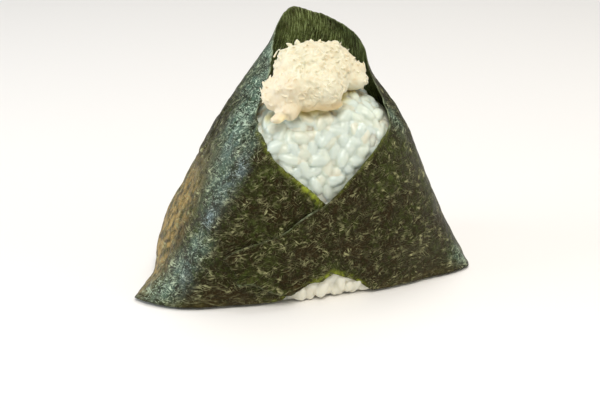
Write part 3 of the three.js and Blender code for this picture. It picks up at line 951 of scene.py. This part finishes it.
# Nori is pressed and dried seaweed: brown-black to dark green, with pale crossing fibres and a satin gloss
noriFinish = {
    "brown": "20180b",
    "dark": "100e05",
    "green": "1d240b",
    "bright": "354219",
    "inner": "4e592d",
    "hood": "acbe80",
    "fibre": "a0a074",
    # a painted blue reflection of the window at the left, with paler fibres in it
    "paintedBlueReflection": "55666c",
    "paintedBlueReflectionFibre": "a9bbbc",
    # a painted teal sheen of the window light at the left, with paler fibres in it
    "tealSheen": "52695a",
    "tealSheenFibre": "b9cdb4",
    # a painted grey-green sheen
    "greySheen": "565c44",
    # a painted tan reflection of a warm table on the left side
    "side": "a38850",
    "rim": "98a585",
    "hem": "4b4120",
    "thin": "93a035",
    # noises: size in mm, detail, roughness and distortion
    "noises": {
        "patch": (8.0, 5.0, 0.65, 0.0),  # greener and browner places
        "clump": (1.5, 4.0, 0.6, 0.5),  # clumps of seaweed
        "breakUp": (2.4, 4.0, 0.5, 0.0),
        "cluster": (4.5, 2.0, 0.5, 0.0),
        "glint": (2.2, 1.0, 0.5, 0.0),
        "paintedGlint": (0.55, 2.0, 0.5, 0.0),  # painted glints on the fibres
        "thinSpot": (1.7, 4.0, 0.5, 0.0),
    },
    "streaks": (1.2, 0.24, 1.0),  # per mm, across and along the lines of the drying mat
    # what counts of each noise or mask, from and to, and what it then gives, from and to
    "ranges": {
        "broken": (0.4, 0.6, 0.12, 1.0),
        "innerShare": (0.4, 0.58, 0.15, 0.8),
        "streakShown": (0.49, 0.63, 0.0, 0.85),
        "rich": (0.38, 0.6, 0.25, 0.9),
        "caught": (0.4, 0.64, 0.2, 1.0),
        "fewInside": (0.0, 1.0, 1.0, 0.35),
        "paintedGlintShown": (0.57, 0.66, 0.0, 1.0),
        "paintedGlintShare": (0.0, 1.0, 0.1, 0.8),
        "thinShown": (0.4, 0.6, 0.1, 0.95),
        "roughness": (0.3, 0.7, 0.36, 0.6),
    },
    "clumpShare": 0.55,  # how much of the base the clumps make up
    "toneShift": 0.13,  # how far the greener and browner places move it
    "crowding": 0.28,  # how much closer fibres lie in the painted sheen and reflection
    "base": [(0.40, "brown"), (0.47, "dark"), (0.55, "green"), (0.66, "bright")],
    "shares": {"side": 0.8, "greySheen": 0.6, "hem": 0.5, "tealSheen": 0.7, "paintedBlueReflection": 0.55},
    # fibres: direction in degrees, how far they run and lie apart in mm, and how rarely they show
    "fibres": [
        {"angle": 8, "long": 9.0, "apart": 1.3, "shown": 0.47},
        {"angle": 32, "long": 8.0, "apart": 1.3, "shown": 0.5},
        {"angle": 70, "long": 6.0, "apart": 1.8, "shown": 0.54},
        {"angle": 112, "long": 6.0, "apart": 1.8, "shown": 0.54},
        {"angle": 158, "long": 8.0, "apart": 1.3, "shown": 0.48},
    ],
    "fibreWidth": 0.15,  # mm; a real fibre is 0.1 mm thick, and is drawn coarser here so that it shows
    "fibreEdge": (0.3, 1.3),  # where a fibre starts to fade and ends, in half widths
    "fibreBreaks": 0.42,  # per mm
    "ior": 1.5,
    "specular": 0.3,
    "gloss": "d9c184",
    "coolGloss": "d0ddd2",
}


def noriFibres(tree, flat):
    # thin curved lines, where a drawn-out noise passes its middle value, broken into lengths
    f = noriFinish
    step = 0.08
    strongest = 0.0
    for number, layer in enumerate(f["fibres"]):
        turned = addNode(tree, "ShaderNodeMapping", {
            "Vector": flat, "Location": (31.0 * number, 17.0, 0.0),
            "Rotation": (0, 0, math.radians(layer["angle"]))}).outputs["Vector"]
        stretch = (1 / layer["long"], 1 / layer["apart"], 1.0)
        drawn = addNode(tree, "ShaderNodeVectorMath", {
            0: turned, 1: stretch}, {"operation": "MULTIPLY"}).outputs["Vector"]
        beside = addNode(tree, "ShaderNodeVectorMath", {0: drawn, 1: (0, step, 0)}).outputs["Vector"]
        waves, near, breaks = (
            addNode(tree, "ShaderNodeTexNoise", {
                "Vector": where, "Scale": scale, "Detail": 1.0}).outputs["Fac"]
            for where, scale in ((drawn, 1.0), (beside, 1.0), (turned, f["fibreBreaks"])))
        # divided by its slope, the difference from the middle value is the distance from the line
        gaps = []
        for first, second in ((waves, 0.5), (near, waves)):
            gap = addNode(tree, "ShaderNodeMath", {0: first, 1: second}, {"operation": "SUBTRACT"})
            gaps.append(addNode(tree, "ShaderNodeMath", {0: gap.outputs[0]}, {"operation": "ABSOLUTE"}))
        away, slope = (gap.outputs[0] for gap in gaps)
        steep = addNode(tree, "ShaderNodeMath", {0: slope, 1: 0.45 * step}, {"operation": "MAXIMUM"})
        distance = addNode(tree, "ShaderNodeMath", {0: away, 1: steep.outputs[0]}, {"operation": "DIVIDE"})
        halfWidth = f["fibreWidth"] / 2 / layer["apart"] / step
        line = addNode(tree, "ShaderNodeMapRange", {
            "Value": distance.outputs[0], "From Min": f["fibreEdge"][0] * halfWidth,
            "From Max": f["fibreEdge"][1] * halfWidth, "To Min": 1.0, "To Max": 0.0})
        shown = addNode(tree, "ShaderNodeMapRange", {
            "Value": breaks, "From Min": layer["shown"], "From Max": layer["shown"] + 0.12})
        part = addNode(tree, "ShaderNodeMath", {
            0: line.outputs["Result"], 1: shown.outputs["Result"]}, {"operation": "MULTIPLY"})
        strongest = addNode(tree, "ShaderNodeMath", {
            0: strongest, 1: part.outputs[0]}, {"operation": "MAXIMUM"}).outputs[0]
    return strongest


def noriMaterial():
    f = noriFinish
    material, tree = newMaterial("pressedNoriSheet")
    place = addNode(tree, "ShaderNodeTexCoord").outputs["Object"]
    flat = addNode(tree, "ShaderNodeAttribute", settings={"attribute_name": "sheetPlace"}).outputs["Vector"]
    mask = {}
    for key in ("tone", "paintedBlueReflection", "tealSheen", "greySheen", "thin", "side", "hem", "rim", "inside"):
        mask[key] = addNode(tree, "ShaderNodeAttribute", settings={"attribute_name": key}).outputs["Fac"]
    noises = {}
    for key, (size, detail, roughness, distortion) in f["noises"].items():
        noises[key] = addNode(tree, "ShaderNodeTexNoise", {
            "Vector": place, "Scale": 1 / (size * mm), "Detail": detail, "Roughness": roughness,
            "Distortion": distortion}).outputs["Fac"]
    # the inner face keeps the lines of the drying mat, which run up and down
    drawn = addNode(tree, "ShaderNodeVectorMath", {0: flat, 1: f["streaks"]}, {"operation": "MULTIPLY"})
    streaks = addNode(tree, "ShaderNodeTexNoise", {
        "Vector": drawn.outputs["Vector"], "Scale": 1.0, "Detail": 6.0, "Roughness": 0.75}).outputs["Fac"]
    # fibres lie in clusters, with calm places between, and closer together in the painted sheen and
    # reflection
    paintedSheenAndReflection = addNode(tree, "ShaderNodeMath", {
        0: mask["tealSheen"], 1: mask["paintedBlueReflection"]}, {"operation": "MAXIMUM"}).outputs[0]
    crowded = addNode(tree, "ShaderNodeMath", {
        0: paintedSheenAndReflection, 1: f["crowding"], 2: noises["cluster"]}, {"operation": "MULTIPLY_ADD"}).outputs[0]
    sources = {
        "broken": noises["breakUp"], "innerShare": noises["patch"], "streakShown": streaks, "rich": crowded,
        "caught": noises["glint"], "fewInside": mask["inside"], "paintedGlintShown": noises["paintedGlint"],
        "paintedGlintShare": paintedSheenAndReflection, "thinShown": noises["thinSpot"], "roughness": noises["clump"],
    }
    level = {}
    for key, source in sources.items():
        low, high, least, most = f["ranges"][key]
        level[key] = addNode(tree, "ShaderNodeMapRange", {
            "Value": source, "From Min": low, "From Max": high, "To Min": least, "To Max": most,
        }).outputs["Result"]
    fibres = noriFibres(tree, flat)
    strength = level["rich"]
    for key in ("caught", "fewInside"):
        strength = addNode(tree, "ShaderNodeMath", {
            0: strength, 1: level[key]}, {"operation": "MULTIPLY"}).outputs[0]
    # they are paler in the painted teal sheen and blue reflection
    fibreColour = linear(f["fibre"])
    for key in ("tealSheen", "paintedBlueReflection"):
        paler = linear(f[key + "Fibre"])
        fibreColour = addNode(tree, "ShaderNodeMix", {
            "Factor": mask[key], 6: fibreColour, 7: paler}, {"data_type": "RGBA"}).outputs[2]
    toned = addNode(tree, "ShaderNodeMath", {
        0: mask["tone"], 1: f["toneShift"], 2: noises["patch"]}, {"operation": "MULTIPLY_ADD"})
    both = addNode(tree, "ShaderNodeMix", {
        "Factor": f["clumpShare"], 2: toned.outputs[0], 3: noises["clump"]})
    colour = addNode(tree, "ShaderNodeValToRGB", {"Fac": both.outputs[0]}, stops=[
        (stop, linear(f[key])) for stop, key in f["base"]]).outputs["Color"]
    # layers from the lowest to the topmost: each shows where both its masks are strong, times its share
    layers = [(mask[key], level["broken"], share, linear(f[key])) for key, share in f["shares"].items()]
    layers += [
        (mask["inside"], level["innerShare"], 1.0, linear(f["inner"])),
        (level["streakShown"], mask["inside"], 1.0, linear(f["hood"])),
        (fibres, strength, 1.0, fibreColour),
        # painted glints, more of them in the painted sheen and reflection
        (level["paintedGlintShown"], level["paintedGlintShare"], 1.0, fibreColour),
        (mask["thin"], level["thinShown"], 1.0, linear(f["thin"])),  # light from the rice behind
        (mask["rim"], level["broken"], 1.0, linear(f["rim"])),
    ]
    for first, second, share, above in layers:
        part = addNode(tree, "ShaderNodeMath", {0: first, 1: second}, {"operation": "MULTIPLY"})
        weak = addNode(tree, "ShaderNodeMath", {0: part.outputs[0], 1: share}, {"operation": "MULTIPLY"})
        colour = addNode(tree, "ShaderNodeMix", {
            "Factor": weak.outputs[0], 6: colour, 7: above}, {"data_type": "RGBA"}).outputs[2]
    gloss = addNode(tree, "ShaderNodeMix", {
        "Factor": mask["tealSheen"], 6: linear(f["gloss"]), 7: linear(f["coolGloss"])}, {"data_type": "RGBA"})
    relief = addNode(tree, "ShaderNodeMath", {0: fibres, 1: noises["clump"]}, {"operation": "ADD"})
    bump = addNode(tree, "ShaderNodeBump", {
        "Height": relief.outputs[0], "Strength": 0.8, "Distance": 0.4 * mm})
    shader = addNode(tree, "ShaderNodeBsdfPrincipled", {
        "Base Color": colour, "Roughness": level["roughness"], "IOR": f["ior"],
        "Specular IOR Level": f["specular"], "Specular Tint": gloss.outputs[2],
        "Normal": bump.outputs["Normal"]})
    addNode(tree, "ShaderNodeOutputMaterial", {"Surface": shader.outputs["BSDF"]})
    return material


def tintByPlace(tree, colour, finish):
    # mixes in each tint where the mesh's own value of that name is high
    for key, share in finish["shares"].items():
        there = addNode(tree, "ShaderNodeAttribute", settings={"attribute_name": key}).outputs["Fac"]
        part = addNode(tree, "ShaderNodeMath", {0: there, 1: share}, {"operation": "MULTIPLY"})
        colour = addNode(tree, "ShaderNodeMix", {
            "Factor": part.outputs[0], 6: colour, 7: linear(finish[key])}, {"data_type": "RGBA"}).outputs[2]
    return colour


# Steamed short-grain rice: moist and translucent white, so light goes a good way in and edges look soft
riceFinish = {
    "white": "ccd4c6",
    "cool": "c7d2cb",
    "warm": "d0cebb",
    "creviceShade": "d3c5a0",  # painted shade between the grains, warm where light has gone through much rice
    "oil": "cdc078",
    "foot": "e4dcca",  # paler and warmer low in the arch
    "shares": {"creviceShade": 0.9, "oil": 0.85, "foot": 0.6},
    "roughness": 0.32,
    "ior": 1.38,
    "scatter": 2.3,  # mm
    "blotch": 3.5,  # mm
    "skin": 0.8,  # mm, the fine unevenness of a cooked grain
}


def riceMaterial(name, ofGrains):
    # the grains have tints of their own, and the heart between them has none
    f = riceFinish
    material, tree = newMaterial(name)
    place = addNode(tree, "ShaderNodeTexCoord").outputs["Object"]
    soft, fine = (
        addNode(tree, "ShaderNodeTexNoise", {
            "Vector": place, "Scale": 1 / (f[size] * mm), "Detail": 3.0}).outputs["Fac"]
        for size in ("blotch", "skin"))
    if ofGrains:
        grain = addNode(tree, "ShaderNodeAttribute", settings={"attribute_name": "grainTint"}).outputs["Fac"]
        tint = addNode(tree, "ShaderNodeMix", {"Factor": 0.45, 2: grain, 3: soft}).outputs[0]
        plain = addNode(tree, "ShaderNodeValToRGB", {"Fac": tint}, stops=[
            (0.15, linear(f["warm"])), (0.4, linear(f["white"])), (0.85, linear(f["cool"]))])
        colour = tintByPlace(tree, plain.outputs["Color"], f)
    else:
        colour = addNode(tree, "ShaderNodeValToRGB", {"Fac": soft}, stops=[
            (0.35, linear(f["warm"])), (0.7, linear(f["white"]))]).outputs["Color"]
    bump = addNode(tree, "ShaderNodeBump", {"Height": fine, "Strength": 0.3, "Distance": 0.15 * mm})
    shader = addNode(tree, "ShaderNodeBsdfPrincipled", {
        "Base Color": colour, "Roughness": f["roughness"], "IOR": f["ior"],
        "Normal": bump.outputs["Normal"], "Subsurface Weight": 1.0,
        "Subsurface Radius": (1.0, 0.95, 0.85), "Subsurface Scale": f["scatter"] * mm,
        "Coat Weight": 0.25, "Coat Roughness": 0.2})
    addNode(tree, "ShaderNodeOutputMaterial", {"Surface": shader.outputs["BSDF"]})
    return material


# Flaked tuna in mayonnaise: an opaque pale cream with beige flakes, moist on top
tunaFinish = {
    "pale": "dad8c2",
    "cream": "d5cfb4",
    "beige": "d1c4a3",
    "pink": "dccbb0",
    # tan, partly oil and partly painted shade under the lip
    "low": "c9b07c",
    "oil": "e9dcae",
    "shares": {"pink": 0.45, "low": 0.75, "oil": 0.8},
    "roughness": (0.38, 0.62),
    "ior": 1.45,
    "scatter": 1.4,  # mm
    "flake": 1.6,  # mm, the width of a flake of tuna
    "drift": 8.0,  # mm
    "grit": 0.7,  # mm
}


def tunaMaterial():
    f = tunaFinish
    material, tree = newMaterial("flakedTunaInMayonnaise")
    place = addNode(tree, "ShaderNodeTexCoord").outputs["Object"]
    flakes = addNode(tree, "ShaderNodeTexNoise", {
        "Vector": place, "Scale": 1 / (f["flake"] * mm), "Detail": 4.0, "Roughness": 0.65, "Distortion": 0.7})
    drift = addNode(tree, "ShaderNodeTexNoise", {
        "Vector": place, "Scale": 1 / (f["drift"] * mm), "Detail": 3.0})
    both = addNode(tree, "ShaderNodeMix", {"Factor": 0.45, 2: flakes.outputs["Fac"], 3: drift.outputs["Fac"]})
    plain = addNode(tree, "ShaderNodeValToRGB", {"Fac": both.outputs[0]}, stops=[
        (0.36, linear(f["beige"])), (0.5, linear(f["cream"])), (0.64, linear(f["pale"]))])
    colour = tintByPlace(tree, plain.outputs["Color"], f)
    rough = addNode(tree, "ShaderNodeMapRange", {
        "Value": flakes.outputs["Fac"], "To Min": f["roughness"][0], "To Max": f["roughness"][1]})
    fine = addNode(tree, "ShaderNodeTexNoise", {
        "Vector": place, "Scale": 1 / (f["grit"] * mm), "Detail": 4.0, "Roughness": 0.6})
    bump = addNode(tree, "ShaderNodeBump", {
        "Height": fine.outputs["Fac"], "Strength": 0.35, "Distance": 0.3 * mm})
    shader = addNode(tree, "ShaderNodeBsdfPrincipled", {
        "Base Color": colour, "Roughness": rough.outputs["Result"], "IOR": f["ior"],
        "Normal": bump.outputs["Normal"], "Subsurface Weight": 0.5, "Subsurface Radius": (1.0, 0.85, 0.68),
        "Subsurface Scale": f["scatter"] * mm, "Coat Weight": 0.12, "Coat Roughness": 0.25})
    addNode(tree, "ShaderNodeOutputMaterial", {"Surface": shader.outputs["BSDF"]})
    return material


noriSheet.data.materials.append(noriMaterial())
grainMaterial = riceMaterial("steamedRiceGrain", True)
riceGrains.data.materials.append(grainMaterial)
riceUnderside.data.materials.append(grainMaterial)
riceHeart.data.materials.append(riceMaterial("pressedRice", False))
tunaMayonnaise.data.materials.append(tunaMaterial())
print("materials made")

for piece, node, slot in (
    (noriSheet, "nori", "nori"),
    (riceGrains, "rice", "cooked_rice"),
    (riceUnderside, "rice", "cooked_rice"),
    (riceHeart, "rice", "cooked_rice"),
    (tunaMayonnaise, "tuna_mayonnaise", "tuna_mayonnaise"),
):
    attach(piece, "root")
    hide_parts(node)


# A plain pale floor and soft studio light
studio = {
    "floorSize": 3.0,  # m
    "floor": "e9e7e3",
    "air": "f4f5f7",
    "airStrength": 0.3,
    # place in m, size in m, power in W, colour
    "lights": [
        {"name": "keyLight", "place": (-0.15, -0.5, 0.8), "size": 0.45, "power": 6.6, "colour": "fffaf3"},
        {"name": "windowLeft", "place": (-0.75, 0.12, 0.2), "size": 0.45, "power": 4.4, "colour": "dfe8f4"},
        {"name": "ceiling", "place": (0.15, 0.25, 0.85), "size": 0.7, "power": 3.6, "colour": "ffffff"},
        {"name": "rightFill", "place": (0.7, -0.35, 0.35), "size": 0.5, "power": 1.8, "colour": "fff6ea"},
    ],
    "aim": (0.0, 0.0, 0.04),
}


def makeStudio():
    size = studio["floorSize"] / 2
    corners = [(-size, -size, 0), (size, -size, 0), (size, size, 0), (-size, size, 0)]
    mesh = bpy.data.meshes.new("floor")
    mesh.from_pydata(corners, [], [(0, 1, 2, 3)])
    floor = bpy.data.objects.new("floor", mesh)
    bpy.context.scene.collection.objects.link(floor)
    material, tree = newMaterial("paleFloor")
    shader = addNode(tree, "ShaderNodeBsdfPrincipled", {
        "Base Color": linear(studio["floor"]), "Roughness": 0.6})
    addNode(tree, "ShaderNodeOutputMaterial", {"Surface": shader.outputs["BSDF"]})
    mesh.materials.append(material)
    world = bpy.data.worlds.new("studioAir")
    world.use_nodes = True
    background = world.node_tree.nodes["Background"]
    background.inputs["Color"].default_value = linear(studio["air"])
    background.inputs["Strength"].default_value = studio["airStrength"]
    bpy.context.scene.world = world
    bpy.context.scene.view_settings.view_transform = "Standard"
    for item in studio["lights"]:
        data = bpy.data.lights.new(item["name"], "AREA")
        data.size = item["size"]
        data.energy = item["power"]
        data.color = linear(item["colour"])[:3]
        lamp = bpy.data.objects.new(item["name"], data)
        bpy.context.scene.collection.objects.link(lamp)
        back = unit(np.array(item["place"]) - np.array(studio["aim"]))
        right = unit(np.cross([0, 0, 1], back))
        pose = Matrix(np.array([right, np.cross(back, right), back]).T.tolist()).to_4x4()
        pose.translation = item["place"]
        lamp.matrix_world = pose


makeStudio()
print("studio made")
